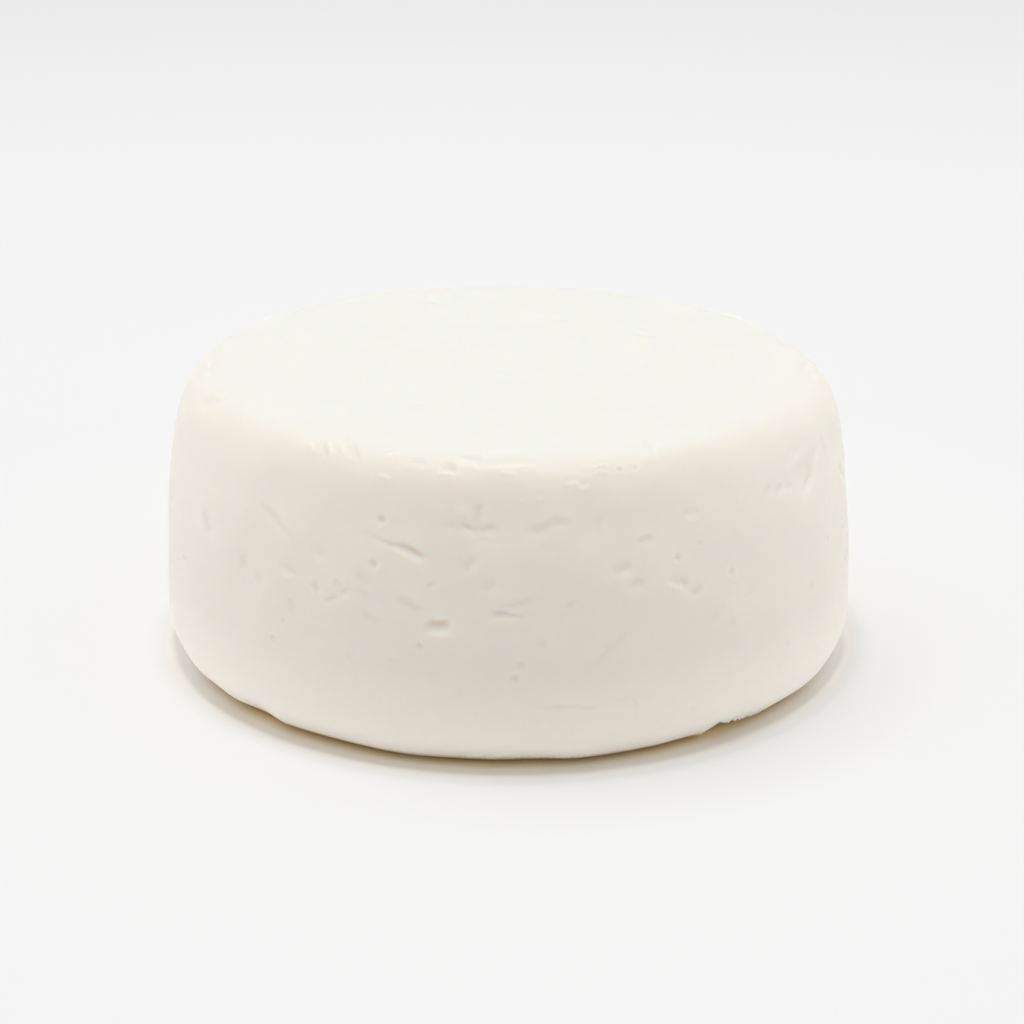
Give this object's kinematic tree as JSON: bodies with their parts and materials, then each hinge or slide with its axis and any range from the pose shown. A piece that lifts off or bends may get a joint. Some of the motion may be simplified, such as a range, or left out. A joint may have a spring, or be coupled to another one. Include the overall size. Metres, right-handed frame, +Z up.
{
  "type": "fresh mozzarella cheese",
  "caption": "Squat drum of fresh white mozzarella with a flat crown, rolled shoulder, narrower foot and lightly dented skin.",
  "frame": {"origin": "middle of the foot on the surface that the cheese stands on, under the centre of its outline", "axes": "+Z up through the crown, -Y towards the front that the picture shows, +X to the right"},
  "size_m": [0.073, 0.073, 0.0304],
  "materials": {
    "cheese": "moist satin"
  },
  "bodies": {
    "root": {"mozzarella_drum": "cheese"}
  },
  "joints": []
}
